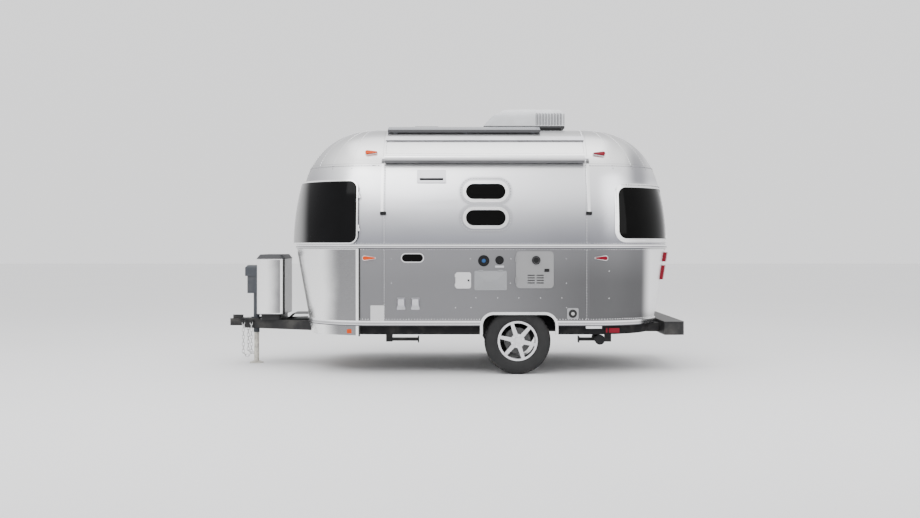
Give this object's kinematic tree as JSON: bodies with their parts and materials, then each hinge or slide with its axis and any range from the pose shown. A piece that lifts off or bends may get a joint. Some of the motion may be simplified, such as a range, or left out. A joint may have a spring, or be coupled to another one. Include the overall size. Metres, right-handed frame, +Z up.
{
  "type": "travel caravan",
  "caption": "Single-axle travel caravan with a riveted aluminium shell, wrap-round end windows, folding window guards, entry door, hatches, tongue jack and stabiliser legs.",
  "frame": {"origin": "on the ground under the middle of the whole vehicle, tongue and bumper included", "axes": "+X to the rear, -X along the tongue, -Y street side, +Y door side, +Z up"},
  "size_m": [4.954, 2.498, 2.83],
  "materials": {
    "polished_aluminium": "polished sheet with rivets",
    "bright_trim": "bright extrusion",
    "bright_steel": "brushed guard",
    "zinc_steel": "plated steel",
    "black_steel": "black paint",
    "dark_glass": "dark tinted glass",
    "smoked_guard": "smoked panel",
    "tyre_rubber": "black tyre",
    "machined_rim": "machined spokes, dark pockets",
    "white_plastic": "pale moulded plastic",
    "grey_plastic": "grey moulded plastic",
    "black_plastic": "black moulded plastic",
    "lamp_plastic": "amber and red lenses",
    "red_lens": "red lens",
    "floor_wood": "composite deck",
    "solar_cell": "dark cells"
  },
  "bodies": {
    "caravan": {"main_rails": "black_steel", "tongue_rails": "black_steel", "coupler": "black_steel", "safety_chains": "zinc_steel", "jack_post": "black_plastic", "gas_cover": "polished_aluminium", "gas_lid": "black_plastic", "gas_tray": "black_steel", "floor_deck": "floor_wood", "belly_pan": "black_steel", "wheel_boxes": "black_plastic", "side_lower_left": "polished_aluminium", "side_lower_right": "polished_aluminium", "nose_lower": "polished_aluminium", "tail_lower": "polished_aluminium", "upper_mid": "polished_aluminium", "front_cap": "polished_aluminium", "rear_cap": "polished_aluminium", "belt_rail": "bright_trim", "rub_rail": "bright_trim", "arch_trims": "bright_trim", "end_glass": "dark_glass", "side_glass": "dark_glass", "window_frames": "bright_trim", "lower_guards": "bright_steel", "awnings": "bright_trim", "roof_gutters": "bright_trim", "air_conditioner": "white_plastic", "solar_panels": "solar_cell", "vent_base": "white_plastic", "marker_lamps": "lamp_plastic", "tail_lamps": "red_lens", "vent_covers": "bright_trim", "inlets": "black_plastic", "axle_beam": "black_steel", "rear_bumper": "black_steel", "stabiliser_brackets": "black_steel", "waste_outlet": "black_plastic", "step_carrier": "black_steel", "guard_brackets": "bright_trim", "door_hinges": "bright_trim"},
    "wheel_spin_left": {"tyre_left": "tyre_rubber", "wheel_left": "machined_rim"},
    "wheel_spin_right": {"tyre_right": "tyre_rubber", "wheel_right": "machined_rim"},
    "jack_inner": {"jack_leg": "zinc_steel"},
    "leg_front_left": {"stabiliser_front_left": "black_steel"},
    "leg_front_right": {"stabiliser_front_right": "black_steel"},
    "leg_rear_left": {"stabiliser_rear_left": "black_steel"},
    "leg_rear_right": {"stabiliser_rear_right": "black_steel"},
    "door": {"entry_door": "polished_aluminium", "door_glass": "dark_glass"},
    "guard_left": {"stone_guard_left": "smoked_guard"},
    "guard_right": {"stone_guard_right": "smoked_guard"},
    "guard_centre": {"stone_guard_centre": "smoked_guard"},
    "heater": {"heater_door": "white_plastic"},
    "cord": {"cord_hatch": "grey_plastic"},
    "hatch": {"small_hatch": "white_plastic"},
    "step": {"entry_step": "black_steel"},
    "vent": {"vent_lid": "grey_plastic"}
  },
  "joints": [
    {"name": "wheel_left", "type": "hinge", "parent": "caravan", "child": "wheel_spin_left", "pos_m": [0.71, -1.0955, 0.342], "axis": [0, 1, 0], "continuous": true},
    {"name": "wheel_right", "type": "hinge", "parent": "caravan", "child": "wheel_spin_right", "pos_m": [0.71, 1.0955, 0.342], "axis": [0, 1, 0], "continuous": true},
    {"name": "jack_extension", "type": "slide", "parent": "caravan", "child": "jack_inner", "axis": [0, 0, 1], "range_m": [-0.03, 0.3]},
    {"name": "stabiliser_front_left", "type": "hinge", "parent": "caravan", "child": "leg_front_left", "pos_m": [-0.64, -0.66, 0.32], "axis": [0, 1, 0], "range_deg": [0, 75]},
    {"name": "stabiliser_front_right", "type": "hinge", "parent": "caravan", "child": "leg_front_right", "pos_m": [-0.64, 0.66, 0.32], "axis": [0, 1, 0], "range_deg": [0, 75]},
    {"name": "stabiliser_rear_left", "type": "hinge", "parent": "caravan", "child": "leg_rear_left", "pos_m": [1.7, -0.66, 0.32], "axis": [0, -1, 0], "range_deg": [0, 75]},
    {"name": "stabiliser_rear_right", "type": "hinge", "parent": "caravan", "child": "leg_rear_right", "pos_m": [1.7, 0.66, 0.32], "axis": [0, -1, 0], "range_deg": [0, 75]},
    {"name": "entry_door", "type": "hinge", "parent": "caravan", "child": "door", "pos_m": [-0.45, 1.24, 1.3], "axis": [0, 0, 1], "range_deg": [0, 120]},
    {"name": "guard_left", "type": "hinge", "parent": "caravan", "child": "guard_left", "pos_m": [-0.923, -1.23428, 1.5], "axis": [0, 0.1377, 0.9905], "range_deg": [0, 70]},
    {"name": "guard_right", "type": "hinge", "parent": "caravan", "child": "guard_right", "pos_m": [-0.923, 1.23428, 1.5], "axis": [0, 0.1377, -0.9905], "range_deg": [0, 70]},
    {"name": "guard_centre", "type": "hinge", "parent": "caravan", "child": "guard_centre", "pos_m": [-1.60929, 0, 2.013], "axis": [0, 1, 0], "range_deg": [0, 75]},
    {"name": "heater_door", "type": "hinge", "parent": "caravan", "child": "heater", "pos_m": [0.689, -1.236, 1.076], "axis": [0, 0, -1], "range_deg": [0, 110]},
    {"name": "cord_hatch", "type": "hinge", "parent": "caravan", "child": "cord", "pos_m": [0.43, -1.2285, 1.069], "axis": [-1, 0, 0], "range_deg": [0, 120]},
    {"name": "small_hatch", "type": "hinge", "parent": "caravan", "child": "hatch", "pos_m": [0.069, -1.229, 0.967], "axis": [0, 0, -1], "range_deg": [0, 110]},
    {"name": "entry_step", "type": "slide", "parent": "caravan", "child": "step", "axis": [0, 1, 0], "range_m": [0, 0.25]},
    {"name": "vent_lid", "type": "hinge", "parent": "caravan", "child": "vent", "pos_m": [-0.082, 0, 2.60333], "axis": [0, 1, 0], "range_deg": [0, 55]}
  ]
}
